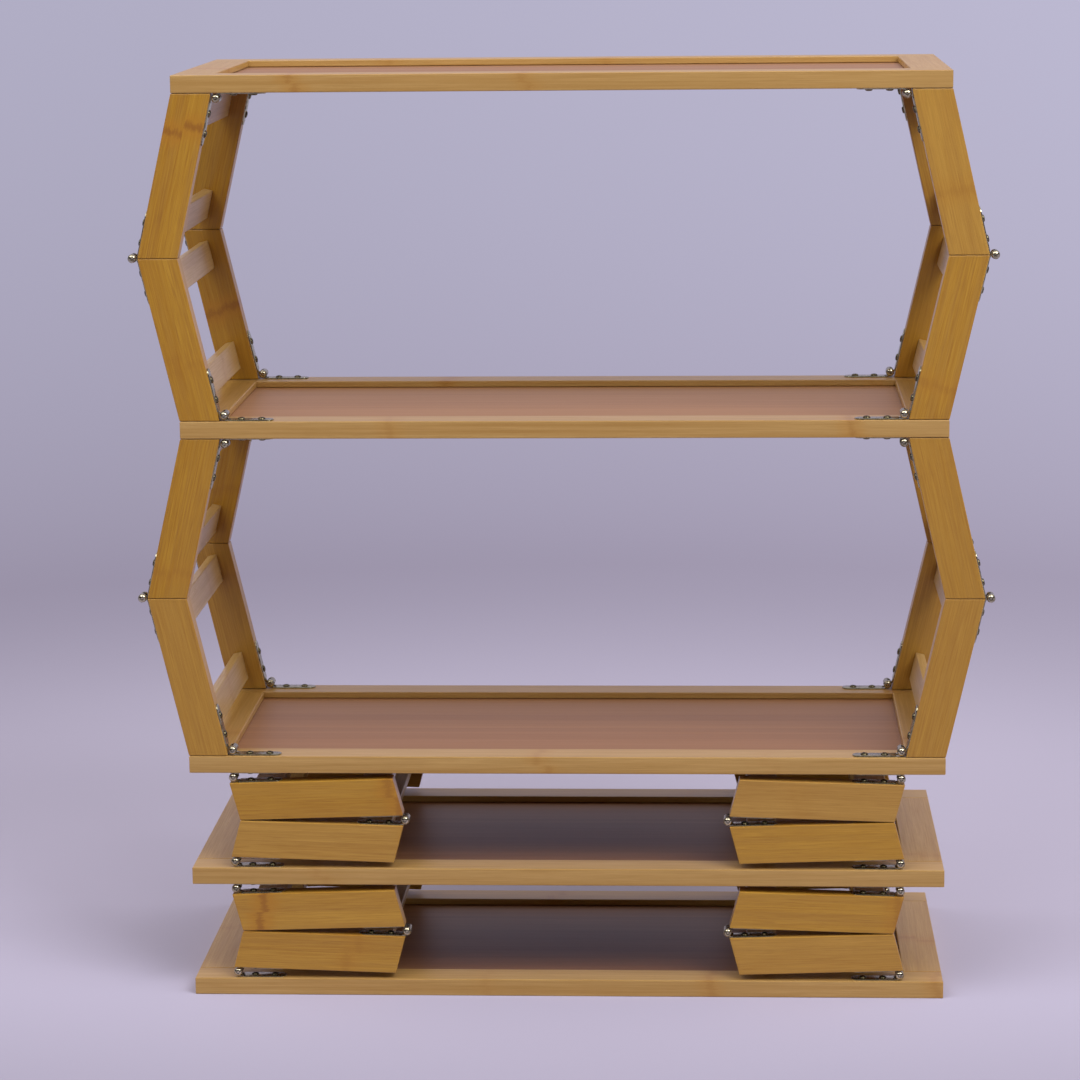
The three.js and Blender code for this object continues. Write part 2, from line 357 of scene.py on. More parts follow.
# %% Nodes in the strips
NODE_SPACING = 210 * mm
SLIP_BETWEEN_STRIPS, STEP_BETWEEN_BOARDS = 0.08, 7.3  # in node spacings
NODES_IN_A_BOARD = 50  # more than any board has
ragged = stretched_noise(tree, grain, shift, 9 * mm, 2.2 * mm, 3)
ragged_by = add(tree, "ShaderNodeMath", {0: ragged, 1: 0.5}, operation="SUBTRACT")
ragged_by = add(tree, "ShaderNodeMath", {0: ragged_by, 1: 15 * mm}, operation="MULTIPLY")
board_start = add(
    tree, "ShaderNodeMath", {0: board, 1: STEP_BETWEEN_BOARDS}, operation="MULTIPLY"
)
strip_start = add(
    tree, "ShaderNodeMath", {0: chance, 1: SLIP_BETWEEN_STRIPS, 2: board_start},
    operation="MULTIPLY_ADD",
)
spacings = add(
    tree, "ShaderNodeMath", {0: along, 1: 1 / NODE_SPACING, 2: strip_start},
    operation="MULTIPLY_ADD",
)
between = add(tree, "ShaderNodeMath", {0: spacings}, operation="FRACT")
between = add(tree, "ShaderNodeMath", {0: between, 1: 0.5}, operation="SUBTRACT")
between = add(tree, "ShaderNodeMath", {0: between}, operation="ABSOLUTE")
to_node = add(
    tree, "ShaderNodeMath", {0: between, 1: NODE_SPACING, 2: ragged_by}, operation="MULTIPLY_ADD"
)
which = add(tree, "ShaderNodeMath", {0: spacings}, operation="FLOOR")
which = add(
    tree, "ShaderNodeMath", {0: board, 1: NODES_IN_A_BOARD, 2: which}, operation="MULTIPLY_ADD"
)
strength = add(tree, "ShaderNodeTexWhiteNoise", {"W": which}, noise_dimensions="1D")
weight = add(
    tree, "ShaderNodeMapRange",
    {"Value": strength.outputs["Value"], "From Min": 0.25, "From Max": 0.9},
)
darker = add(tree, "ShaderNodeMath", {0: honey, 1: 0.45, 2: 0.45}, operation="MULTIPLY_ADD")
weight = add(tree, "ShaderNodeMath", {0: weight, 1: darker}, operation="MULTIPLY")
patch = add(
    tree, "ShaderNodeMapRange",
    {"Value": to_node, "From Min": 19 * mm, "From Max": 4 * mm, "To Min": 0.0, "To Max": 0.75},
    interpolation_type="SMOOTHSTEP",
)
patch = add(tree, "ShaderNodeMath", {0: patch, 1: weight}, operation="MULTIPLY")
mark = add(
    tree, "ShaderNodeMapRange",
    {"Value": to_node, "From Min": 6 * mm, "From Max": 0.5 * mm, "To Min": 0.0, "To Max": 0.95},
    interpolation_type="SMOOTHSTEP",
)
mark = add(tree, "ShaderNodeMath", {0: mark, 1: weight}, operation="MULTIPLY")
print("a node every", round(NODE_SPACING / mm), "mm")

# %% Colour of the bamboo
tone = add(tree, "ShaderNodeMath", {0: strip_tone, 1: 0.3, 2: -0.4}, operation="MULTIPLY_ADD")
tone = add(tree, "ShaderNodeMath", {0: fibres, 1: 1.6, 2: tone}, operation="MULTIPLY_ADD")
straw = add(
    tree, "ShaderNodeMix", {0: tone, MIX_A: linear("#a27b40"), MIX_B: linear("#be985d")},
    data_type="RGBA",
)
deep_honey = add(
    tree, "ShaderNodeMix", {0: tone, MIX_A: linear("#935e06"), MIX_B: linear("#bb8e2f")},
    data_type="RGBA",
)
wood = add(
    tree, "ShaderNodeMix",
    {0: honey, MIX_A: straw.outputs[MIXED], MIX_B: deep_honey.outputs[MIXED]}, data_type="RGBA",
    clamp_factor=False,
)
banding = add(
    tree, "ShaderNodeMapRange",
    {"Value": bands, "From Min": 0.45, "From Max": 0.7, "To Min": 0.0, "To Max": 0.55},
)
open_pores = add(tree, "ShaderNodeMath", {0: honey, 1: 0.4, 2: 0.2}, operation="MULTIPLY_ADD")
dashes = add(
    tree, "ShaderNodeMapRange",
    {"Value": vessels, "From Min": 0.52, "From Max": 0.8, "To Min": 0.0, "To Max": open_pores},
)
end_shade = add(tree, "ShaderNodeMath", {0: end, 1: 0.4}, operation="MULTIPLY")
for share, code in (
    (banding, "#9c7030"), (dashes, "#895a20"), (patch, "#ab7420"), (mark, "#8e5a1c"),
    (end_shade, "#8a6128"),
):
    wood = add(
        tree, "ShaderNodeMix", {0: share, MIX_A: wood.outputs[MIXED], MIX_B: linear(code)},
        data_type="RGBA",
    )
print("the colour is mixed in five layers")

# %% Gloss and relief of the bamboo
gloss = add(
    tree, "ShaderNodeMapRange",
    {"Value": fibres, "From Min": 0.2, "From Max": 0.8, "To Min": 0.38, "To Max": 0.26},
)
relief = add(tree, "ShaderNodeBump", {"Height": fibres, "Strength": 0.25, "Distance": 0.1 * mm})
tree.links.new(wood.outputs[MIXED], shader.inputs["Base Color"])
tree.links.new(gloss.outputs[0], shader.inputs["Roughness"])
tree.links.new(relief.outputs[0], shader.inputs["Normal"])
print(bamboo.name, "has", len(tree.nodes), "nodes")

# %% [markdown]
# ## Carbonised bamboo
#
# The tray panels are a thin board of steamed bamboo, brown all the way through, with finer strips
# of about 8 mm and the same lacquer. Seen at a low angle the lacquer mirrors the paper behind the
# rack, which makes the upper trays look pale and pinkish. The base colour stays dark. An attribute
# moves each panel between the two tones as painted light and shade: painted shade darkens the two
# lowest trays, which lie in the shade of the folded tiers, and a painted reflection makes the
# fourth tray paler.

# %% Carbonised bamboo
PANEL_STRIP = 7.8 * mm
brown_bamboo, tree, shader = new_material("carbonised_bamboo", LACQUER)
grain = add(tree, "ShaderNodeAttribute", attribute_name="grain").outputs["Vector"]
board = add(tree, "ShaderNodeAttribute", attribute_name="board").outputs["Fac"]
cells = add(
    tree, "ShaderNodeVectorMath",
    {0: grain, 1: (LONGER_THAN_ANY_BOARD, PANEL_STRIP, LONGER_THAN_ANY_BOARD)},
    operation="DIVIDE",
)
strip = add(tree, "ShaderNodeVectorMath", {0: cells}, operation="FLOOR")
luck = add(tree, "ShaderNodeTexWhiteNoise", {"Vector": strip, "W": board}, noise_dimensions="4D")
shift = add(
    tree, "ShaderNodeVectorMath", {0: luck.outputs["Color"], 1: FAR_APART}, operation="MULTIPLY"
)
fibres = stretched_noise(tree, grain, shift, 140 * mm, FIBRE, 3)
tone = add(
    tree, "ShaderNodeMath", {0: luck.outputs["Value"], 1: 0.35, 2: 0.1}, operation="MULTIPLY_ADD"
)
tone = add(tree, "ShaderNodeMath", {0: fibres, 1: 0.55, 2: tone}, operation="MULTIPLY_ADD")
# painted light and shade per tray: darker low trays in the folded tiers' shade, a paler fourth
painted_light_and_shade = add(tree, "ShaderNodeAttribute", attribute_name="painted_light_and_shade").outputs["Fac"]
tone = add(tree, "ShaderNodeMath", {0: tone, 1: painted_light_and_shade}, operation="ADD")
wood = add(
    tree, "ShaderNodeMix", {0: tone, MIX_A: linear("#805234"), MIX_B: linear("#a3734a")},
    data_type="RGBA", clamp_factor=False,
)
gloss = add(
    tree, "ShaderNodeMapRange",
    {"Value": fibres, "From Min": 0.2, "From Max": 0.8, "To Min": 0.5, "To Max": 0.4},
)
relief = add(tree, "ShaderNodeBump", {"Height": fibres, "Strength": 0.2, "Distance": 0.1 * mm})
tree.links.new(wood.outputs[MIXED], shader.inputs["Base Color"])
tree.links.new(gloss.outputs[0], shader.inputs["Roughness"])
tree.links.new(relief.outputs[0], shader.inputs["Normal"])
print(brown_bamboo.name, "has", len(tree.nodes), "nodes")

# %% [markdown]
# ## Antique brass
#
# The hinges are pressed from steel strip and plated in antique brass: a greenish gold that has
# gone dark in patches, polished by the tumbler that it came out of. Metal takes its colour from
# the base colour alone, so the patina is a darker brass in soft spots a few millimetres wide. The
# screws get a darker brass as painted shade for the dark room that their domed heads mirror, so
# their heads stay dark against the straps.

# %% Antique brass
PATINA_SPOT = 3.5 * mm


def antique_brass(name, bright, dark, smoothness):
    material, tree, shader = new_material(name, {"Metallic": 1.0})
    on_metal = add(tree, "ShaderNodeTexCoord").outputs["Object"]
    patina = add(
        tree, "ShaderNodeTexNoise",
        {"Vector": on_metal, "Scale": 1 / PATINA_SPOT, "Detail": 3, "Roughness": 0.55},
    )
    stain = add(
        tree, "ShaderNodeMapRange",
        {"Value": patina, "From Min": 0.45, "From Max": 0.68, "To Min": 0.0, "To Max": 0.8},
    )
    colour = add(
        tree, "ShaderNodeMix", {0: stain, MIX_A: linear(bright), MIX_B: linear(dark)},
        data_type="RGBA",
    )
    dulled = add(
        tree, "ShaderNodeMapRange",
        {"Value": patina, "From Min": 0.3, "From Max": 0.7, "To Min": smoothness,
         "To Max": smoothness + 0.16},
    )
    tree.links.new(colour.outputs[MIXED], shader.inputs["Base Color"])
    tree.links.new(dulled.outputs[0], shader.inputs["Roughness"])
    return material


strap_brass = antique_brass("antique_brass_strap", "#b9b193", "#6a634b", 0.16)
pin_brass = antique_brass("antique_brass_pins", "#ccc3aa", "#756d52", 0.12)
# painted shade: the screw brass is darker, standing for the dark room mirrored in the heads
screw_brass_with_painted_shade = antique_brass("antique_brass_screws_with_painted_shade", "#7d7459", "#2f2a21", 0.2)
print(strap_brass.name, pin_brass.name, screw_brass_with_painted_shade.name)

# %% [markdown]
# ## Boards
#
# A board starts as an outline that is swept straight through its third direction. All its edges
# are then eased, as sandpaper does. The order of the axes in grain says which way its fibres run,
# and faces that cut the fibres are marked as end grain.

# %% Boards
EASED_EDGE = 0.8 * mm
OFF_THE_EDGE = 0.1 * mm  # keeps a surface from lying exactly between two strips


def blank(name, bm):
    mesh = bpy.data.meshes.new(name)
    bm.to_mesh(mesh)
    bm.free()
    piece = bpy.data.objects.new(name, mesh)
    scene.collection.objects.link(piece)
    return piece


def swept(outline, sweep):
    bm = bmesh.new()
    start = bm.faces.new([bm.verts.new(corner) for corner in outline])
    moved = bmesh.ops.extrude_face_region(bm, geom=[start])["geom"]
    bmesh.ops.translate(
        bm, vec=sweep, verts=[item for item in moved if isinstance(item, bmesh.types.BMVert)]
    )
    bmesh.ops.recalc_face_normals(bm, faces=bm.faces)
    return bm


def board_piece(name, outline, sweep, fibre_axes, eased=EASED_EDGE):
    bm = swept(outline, sweep)
    bmesh.ops.bevel(bm, geom=bm.edges[:], offset=eased, segments=2, profile=0.5, affect="EDGES")
    order = ["xyz".index(axis) for axis in fibre_axes]
    low = [min(v.co[axis] for v in bm.verts) for axis in range(3)]
    grain_layer = bm.verts.layers.float_vector.new("grain")
    end_layer = bm.faces.layers.float.new("end")
    for vert in bm.verts:
        vert[grain_layer] = [vert.co[axis] - low[axis] + OFF_THE_EDGE for axis in order]
    for face in bm.faces:
        face[end_layer] = float(abs(face.normal[order[0]]) > 0.8)
    return blank(name, bm)


print("edges are eased by", round(EASED_EDGE / mm, 1), "mm")

# %% [markdown]
# ## Rails and panels of the tray shelves
#
# A tray is a ring of four rails, and a groove inside the ring holds the panel. Both kinds of rail
# have the same section, a board with a notch in its inner edge. The end rails stand between the
# long rails, with a hair's breadth of glue line, and a tongue on each of their ends fills the
# long rail's groove, so that its end shows a plug of end grain and not a hole.

# %% Section of a rail
SHELF_WIDTH, SHELF_DEPTH, SHELF_THICKNESS = 700 * mm, 300 * mm, 16 * mm
LONG_RAIL, END_RAIL = 32 * mm, 36 * mm
GROOVE_LOW, GROOVE_HIGH, GROOVE_DEPTH = 4.2 * mm, 9.8 * mm, 6 * mm


def rail_section(width):
    outer, inner, depth = -width / 2, width / 2, width / 2 - GROOVE_DEPTH
    return [
        (outer, 0), (inner, 0), (inner, GROOVE_LOW), (depth, GROOVE_LOW),
        (depth, GROOVE_HIGH), (inner, GROOVE_HIGH), (inner, SHELF_THICKNESS),
        (outer, SHELF_THICKNESS),
    ]


shelf_size = [round(high - low, 4) for low, high in zip(*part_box("shelf_1_frame"))]
print("a shelf of the CAD model measures", shelf_size)

# %% Rails
GLUE_LINE = 0.12 * mm
end_length = SHELF_DEPTH - 2 * LONG_RAIL - 2 * GLUE_LINE
long_rail = board_piece(
    "long_rail", [(-SHELF_WIDTH / 2, y, z) for y, z in rail_section(LONG_RAIL)],
    (SHELF_WIDTH, 0, 0), "xyz",
)
end_rail = board_piece(
    "end_rail", [(x, -end_length / 2, z) for x, z in rail_section(END_RAIL)],
    (0, end_length, 0), "yxz",
)
print(long_rail.name, "and", end_rail.name, "are cut")

# %% Tongues on the end rails
PLAY, TONGUE_EDGE = 0.1 * mm, 0.2 * mm
tongue_length = GROOVE_DEPTH - PLAY
tongue_low, tongue_high = GROOVE_LOW + PLAY, GROOVE_HIGH - PLAY
rail_and_tongues = bmesh.new()
rail_and_tongues.from_mesh(end_rail.data)
for start in (-end_length / 2 - tongue_length, end_length / 2 - PLAY):
    tongue = board_piece(
        "tongue",
        [(x, start, z) for x, z in (
            (-END_RAIL / 2, tongue_low), (END_RAIL / 2, tongue_low),
            (END_RAIL / 2, tongue_high), (-END_RAIL / 2, tongue_high),
        )],
        (0, tongue_length, 0), "yxz", TONGUE_EDGE,
    )
    rail_and_tongues.from_mesh(tongue.data)
    bpy.data.objects.remove(tongue)
rail_and_tongues.to_mesh(end_rail.data)
rail_and_tongues.free()
print("tongues of", round(tongue_length / mm, 1), "mm")

# %% [markdown]
# ## Stiles and slats of the side frames
#
# A side frame is drawn lying still: x runs up the stile from the hinge pin at its shelf, z runs
# out from that pin through the width of the stile, and y is front to back. Both ends of the stile
# are mitred 13 degrees, so that an open frame leans out and stands flat. Two slats join the stiles.

# %% Stiles
TILT = math.radians(13)
GAP, PIVOT = 298 * mm, 5 * mm  # clear height between shelves, and pin to wood
STILE_WIDTH, STILE_THICKNESS, STILE_INSET = 35.5 * mm, 18 * mm, 0.5 * mm
STILE_CENTRE = SHELF_DEPTH / 2 - STILE_INSET - STILE_THICKNESS / 2
SEAT = 0.3 * mm


def along_at(height, out):
    return (height + out * math.sin(TILT)) / math.cos(TILT)


foot_height, knee_height = SEAT - PIVOT, GAP / 2 - PIVOT - SEAT / 2
knee_pin = Vector((along_at(GAP / 2 - PIVOT, STILE_WIDTH + 2 * PIVOT), 0, STILE_WIDTH + 2 * PIVOT))
inner_face, outer_face = PIVOT, PIVOT + STILE_WIDTH
stile = board_piece(
    "stile",
    [
        (along_at(height, out), -STILE_THICKNESS / 2, out)
        for height, out in (
            (foot_height, inner_face), (knee_height, inner_face),
            (knee_height, outer_face), (foot_height, outer_face),
        )
    ],
    (0, STILE_THICKNESS, 0), "xzy",
)
print("knee pin at", [round(value / mm, 2) for value in knee_pin], "mm")

# %% Slats
SLAT_WIDTH, SLAT_THICKNESS, SLAT_SETBACK = 28 * mm, 9 * mm, 14.5 * mm
SLAT_END, TENON = 11 * mm, 6 * mm
slat_length = 2 * (STILE_CENTRE - STILE_THICKNESS / 2 + TENON)
slat_out = PIVOT + SLAT_SETBACK
slat = board_piece(
    "slat",
    [
        (x, -slat_length / 2, slat_out + z)
        for x, z in (
            (-SLAT_WIDTH / 2, 0), (SLAT_WIDTH / 2, 0),
            (SLAT_WIDTH / 2, SLAT_THICKNESS), (-SLAT_WIDTH / 2, SLAT_THICKNESS),
        )
    ],
    (0, slat_length, 0), "yxz",
)
foot_slat = along_at(foot_height, slat_out) + SLAT_END + SLAT_WIDTH / 2
knee_slat = along_at(knee_height, slat_out) - SLAT_END - SLAT_WIDTH / 2
print("slats at", round(foot_slat / mm, 1), "and", round(knee_slat / mm, 1), "mm up the stile")

# %% [markdown]
# ## A tree that sets two long boards and two cross boards
#
# A tray is two long rails and two end rails, and a side frame is two stiles and two slats. One
# Geometry Nodes tree makes both. It places each board on a line of two points, turns the second
# one round where its groove has to face the other way, and gives every board a random number.

# %% Trees and how they are run
def new_tree(name, inputs):
    tree = bpy.data.node_groups.new(name, "GeometryNodeTree")
    for label, kind in inputs.items():
        tree.interface.new_socket(name=label, in_out="INPUT", socket_type=kind)
    tree.interface.new_socket(name="Geometry", in_out="OUTPUT", socket_type="NodeSocketGeometry")
    return tree, add(tree, "NodeGroupInput").outputs


def grown(tree, values, points=None):
    holder = bpy.data.objects.new("holder", points or bpy.data.meshes.new("holder"))
    scene.collection.objects.link(holder)
    modifier = holder.modifiers.new("tree", "NODES")
    modifier.node_group = tree
    for socket in tree.interface.items_tree:
        if socket.in_out == "INPUT" and socket.name in values:
            modifier[socket.identifier] = values[socket.name]
    evaluated = holder.evaluated_get(bpy.context.evaluated_depsgraph_get())
    mesh = bpy.data.meshes.new_from_object(evaluated)
    holder.modifiers.remove(modifier)
    bpy.data.objects.remove(holder)
    return mesh


print("trees are run on an empty mesh, or on loose points")

# %% Two of a board
board_ring, given = new_tree("two_long_and_two_cross_boards", {
    "Long Board": "NodeSocketObject", "Cross Board": "NodeSocketObject",
    "Long Spacing": "NodeSocketFloat", "First Cross": "NodeSocketFloat",
    "Cross Spacing": "NodeSocketFloat", "Second Turned": "NodeSocketFloat",
    "Long Honey": "NodeSocketFloat", "Cross Honey": "NodeSocketFloat",
    "Seed": "NodeSocketInt", "Material": "NodeSocketMaterial",
})


def pair_of(tree, piece, start, step, turned, honey):
    line = add(
        tree, "GeometryNodeMeshLine", {"Count": 2, "Start Location": start, "Offset": step},
        mode="OFFSET",
    )
    order = add(tree, "GeometryNodeInputIndex")
    angle = add(tree, "ShaderNodeMath", {0: order, 1: turned}, operation="MULTIPLY")
    spin = add(tree, "ShaderNodeCombineXYZ", {"Z": angle})
    info = add(tree, "GeometryNodeObjectInfo", {"Object": piece})
    pair = add(
        tree, "GeometryNodeInstanceOnPoints",
        {"Points": line, "Instance": info.outputs["Geometry"], "Rotation": spin},
    )
    return add(
        tree, "GeometryNodeStoreNamedAttribute",
        {"Geometry": pair, "Name": "honey", "Value": honey}, data_type="FLOAT", domain="INSTANCE",
    )


print(board_ring.name, "has", len(given) - 1, "inputs")

# %% Two long boards and two cross boards
half_spacing = add(
    board_ring, "ShaderNodeMath", {0: given["Long Spacing"], 1: -0.5}, operation="MULTIPLY"
)
long_start = add(board_ring, "ShaderNodeCombineXYZ", {"Y": half_spacing})
long_step = add(board_ring, "ShaderNodeCombineXYZ", {"Y": given["Long Spacing"]})
cross_start = add(board_ring, "ShaderNodeCombineXYZ", {"X": given["First Cross"]})
cross_step = add(board_ring, "ShaderNodeCombineXYZ", {"X": given["Cross Spacing"]})
long_pair = pair_of(
    board_ring, given["Long Board"], long_start, long_step, given["Second Turned"],
    given["Long Honey"],
)
cross_pair = pair_of(
    board_ring, given["Cross Board"], cross_start, cross_step, given["Second Turned"],
    given["Cross Honey"],
)
boards = add(board_ring, "GeometryNodeJoinGeometry", {0: cross_pair})
board_ring.links.new(long_pair.outputs[0], boards.inputs[0])
number = add(
    board_ring, "FunctionNodeRandomValue", {"Min": 0.0, "Max": 1.0, "Seed": given["Seed"]},
    data_type="FLOAT",
)
boards = add(
    board_ring, "GeometryNodeStoreNamedAttribute",
    {"Geometry": boards, "Name": "board", "Value": number.outputs[1]},
    data_type="FLOAT", domain="INSTANCE",
)
boards = add(board_ring, "GeometryNodeRealizeInstances", {"Geometry": boards})
boards = add(
    board_ring, "GeometryNodeSetMaterial", {"Geometry": boards, "Material": given["Material"]}
)
add(board_ring, "NodeGroupOutput", {0: boards})
print(board_ring.name, "has", len(board_ring.nodes), "nodes")

# %% [markdown]
# ## Setting up the shelves
#
# Each tray becomes one mesh of four separate boards, so it moves as one body and still shows its
# joints. The panel is one wide board of its own. Its height comes from the CAD node that it stands
# for.

# %% Shelves
RAIL_HONEY, END_RAIL_HONEY = 0.0, 0.25
FIRST_SHELF_SEED = 40
PANEL_EDGE = 0.3 * mm
# painted shade on the two lowest trays and a painted reflection of the paper on the fourth
PAINTED_LIGHT_AND_SHADE_BY_TRAY = (-0.25, -0.1, 0.05, 0.5, 0.0)  # from the lowest tray to the highest


def dress(name, mesh, body, slot, *nodes):
    piece = bpy.data.objects.new(name, mesh)
    scene.collection.objects.link(piece)
    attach(piece, body)
    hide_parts(*nodes)
    return piece


def shelf_rails(number):
    mesh = grown(board_ring, {
        "Long Board": long_rail, "Cross Board": end_rail,
        "Long Spacing": SHELF_DEPTH - LONG_RAIL, "Second Turned": math.pi,
        "First Cross": -(SHELF_WIDTH - END_RAIL) / 2, "Cross Spacing": SHELF_WIDTH - END_RAIL,
        "Long Honey": RAIL_HONEY, "Cross Honey": END_RAIL_HONEY,
        "Seed": FIRST_SHELF_SEED + number, "Material": bamboo,
    })
    shelf = f"shelf_{number}"
    low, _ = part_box(f"shelf_{number}_frame")
    mesh.transform(Matrix.Translation((0, 0, low.z)))
    return dress(f"{shelf}_rails", mesh, shelf, "bamboo", f"{shelf}_frame")


def shelf_tray(number):
    shelf = f"shelf_{number}"
    low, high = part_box(f"shelf_{number}_panel")
    outline = [
        (low.x, low.y, low.z), (low.x, high.y, low.z),
        (low.x, high.y, high.z), (low.x, low.y, high.z),
    ]
    panel = board_piece(f"panel_{number}", outline, (high.x - low.x, 0, 0), "xyz", PANEL_EDGE)
    mesh = panel.data
    bpy.data.objects.remove(panel)
    # each panel gets its tray's painted light and shade
    for label, value in (("board", 0.17 * number), ("painted_light_and_shade", PAINTED_LIGHT_AND_SHADE_BY_TRAY[number - 1])):
        attribute = mesh.attributes.new(label, "FLOAT", "POINT")
        attribute.data.foreach_set("value", [value] * len(mesh.vertices))
    mesh.materials.append(brown_bamboo)
    return dress(f"{shelf}_tray", mesh, shelf, "brown_bamboo_panel", f"{shelf}_panel")


shelves = range(1, 6)
for number in shelves:
    shelf_rails(number)
    shelf_tray(number)
print(len(shelves), "shelves")

# %% [markdown]
# ## Setting up the side frames
#
# The hinge pins of the CAD model say how each frame stands: the line from the pin at its shelf to
# the pin at its knee. Turning the lying frame onto that line puts it in place, open or folded. The
# frame is the same front and back, so a turn is enough and nothing is mirrored.

# %% Places of the side frames
tiers = range(1, 5)
sides = {"left": 1, "right": -1}  # the way in, along x
levels = {"lower": ("foot", 1), "upper": ("head", -1)}  # end at a shelf, way to the knee


def pin_at(tier, joint, side):
    pin_place = hinge_at[f"tier_{tier}_left_{joint}_hinge"].copy()
    pin_place.x *= sides[side]
    return pin_place


def frame_place(tier, level, side):
    end, up = levels[level]
    shelf_pin = pin_at(tier, end, side)
    to_knee = pin_at(tier, "knee", side) - shelf_pin
    hand = sides[side] * up
    lying = math.atan2(knee_pin.z, knee_pin.x)
    lean_of_stile = math.atan2(to_knee.z, to_knee.x) - hand * lying
    x_axis = Vector((math.cos(lean_of_stile), 0, math.sin(lean_of_stile)))
    z_axis = hand * Vector((-math.sin(lean_of_stile), 0, math.cos(lean_of_stile)))
    turn = Matrix((x_axis, z_axis.cross(x_axis), z_axis)).transposed().to_4x4()
    return Matrix.Translation(shelf_pin) @ turn


between_pins = (pin_at(3, "knee", "left") - pin_at(3, "foot", "left")).length
print("pins", round(between_pins / mm, 2), "and", round(knee_pin.length / mm, 2), "mm apart")

# %% Side frames
HONEY = {  # from the lowest tier to the highest
    "left": {"lower": (0.85, 0.65, 0.75, 1.0), "upper": (0.85, 0.9, 1.0, 1.0)},
    "right": {"lower": (0.7, 0.9, 0.75, 0.95), "upper": (0.9, 0.5, 0.85, 0.75)},
}
# the slats are paler than straw: partly their own tone, partly painted light and sheen
SLAT_HONEY_WITH_PAINTED_LIGHT = -0.45


def side_boards(tier, level, side):
    name = f"tier_{tier}_{level}_{side}"
    seed = 100 * tier + 10 * sides[side] + levels[level][1]
    mesh = grown(board_ring, {
        "Long Board": stile, "Cross Board": slat, "Long Spacing": 2 * STILE_CENTRE,
        "Second Turned": 0.0, "First Cross": foot_slat, "Cross Spacing": knee_slat - foot_slat,
        "Long Honey": HONEY[side][level][tier - 1], "Cross Honey": SLAT_HONEY_WITH_PAINTED_LIGHT, "Seed": seed,
        "Material": bamboo,
    })
    mesh.transform(frame_place(tier, level, side))
    return dress(f"{name}_boards", mesh, name, "bamboo", f"{name}_frame")


side_frames = [(tier, level, side) for tier in tiers for level in levels for side in sides]
for tier, level, side in side_frames:
    side_boards(tier, level, side)
print(len(side_frames), "side frames")

# %% [markdown]
# ## Parts of a strap hinge
#
# A leaf is a strip of metal with a rounded end. At the other end tongues of it are rolled round the
# pin. One leaf has two tongues and the other has one between them. The strip is an extruded plan,
# and a tongue is the path of the strip's middle, given thickness and swept along the pin. All are
# drawn with the pin along y, the leaf along x, and the wood 5 mm below the pin.

# %% Helpers for pressed metal
SMOOTH_BELOW = math.radians(32)
HINGE_WIDTH, LEAF_END, LEAF_START, STRAP = 13 * mm, 45 * mm, 4.8 * mm, 1.1 * mm
KNUCKLE, MIDDLE_KNUCKLE, KNUCKLE_GAP = 4 * mm, 5 * mm, 0.35 * mm
leaf_bottom, leaf_top = -PIVOT, -PIVOT + STRAP


def smooth_metal(piece):
    mesh = piece.data
    mesh.polygons.foreach_set("use_smooth", [True] * len(mesh.polygons))
    mesh.set_sharp_from_angle(angle=SMOOTH_BELOW)
    return piece


def arc_points(radius, first, last, steps):
    angles = [math.radians(first + (last - first) * step / steps) for step in range(steps + 1)]
    return [Vector((radius * math.cos(angle), radius * math.sin(angle))) for angle in angles]


print("straps are", round(STRAP / mm, 2), "mm thick")

# %% Strap and knuckles
STRAP_CORNER, STRAP_EDGE = 6 * mm, 0.35 * mm


def strap_mesh():
    half = HINGE_WIDTH / 2
    far = [
        (LEAF_END - STRAP_CORNER + point.x, half - STRAP_CORNER + point.y)
        for point in arc_points(STRAP_CORNER, 0, 90, 7)
    ]
    plan = [(LEAF_START, -half), *[(x, -y) for x, y in reversed(far)], *far, (LEAF_START, half)]
    bm = swept([(x, y, leaf_bottom) for x, y in plan], (0, 0, STRAP))
    close = 0.01 * mm
    rim = [edge for edge in bm.edges if all(abs(v.co.z - leaf_top) < close for v in edge.verts)]
    bmesh.ops.bevel(bm, geom=rim, offset=STRAP_EDGE, segments=2, profile=0.5, affect="EDGES")
    return bm


def rolled_tongue(y_start, y_end):
    middle = (leaf_bottom + leaf_top) / 2
    path = [  # the strip bends up a little before it rolls round the pin
        Vector((LEAF_START, middle)), Vector((3.3 * mm, middle + 0.08 * mm)),
        Vector((2.0 * mm, middle + 0.5 * mm)),
    ]
    path += arc_points(KNUCKLE - STRAP / 2, -78, -345, 26)
    outer, inner = [], []
    for index, point in enumerate(path):
        before, after = path[max(index - 1, 0)], path[min(index + 1, len(path) - 1)]
        ahead = (after - before).normalized()
        to_inside = Vector((ahead.y, -ahead.x)) * STRAP / 2
        outer.append(point - to_inside)
        inner.append(point + to_inside)
    outline = [(point.x, y_start, point.y) for point in [*outer, *reversed(inner)]]
    return swept(outline, (0, y_end - y_start, 0))


def joined(name, meshes):
    leaf = bmesh.new()
    for bm in meshes:
        mesh = bpy.data.meshes.new("strap_or_knuckle")
        bm.to_mesh(mesh)
        bm.free()
        leaf.from_mesh(mesh)
        bpy.data.meshes.remove(mesh)
    return smooth_metal(blank(name, leaf))


half_hinge, half_middle = HINGE_WIDTH / 2, MIDDLE_KNUCKLE / 2
outer_start = half_middle + KNUCKLE_GAP
outer_leaf = joined("outer_leaf", [
    strap_mesh(), rolled_tongue(-half_hinge, -outer_start), rolled_tongue(outer_start, half_hinge),
])
inner_leaf = joined("inner_leaf", [strap_mesh(), rolled_tongue(-half_middle, half_middle)])
print("leaves of", len(outer_leaf.data.polygons), "and", len(inner_leaf.data.polygons), "faces")

# %% [markdown]
# ## Pin and screw
#
# Both are turned parts, so both are a profile carried round an axis. The pin ends in domes as wide
# as the knuckles, with a dimple in the middle where the punch spread them. The screw is a pan head
# with a cross, which a boolean cuts once, in the pattern that all 192 screws are copied from.

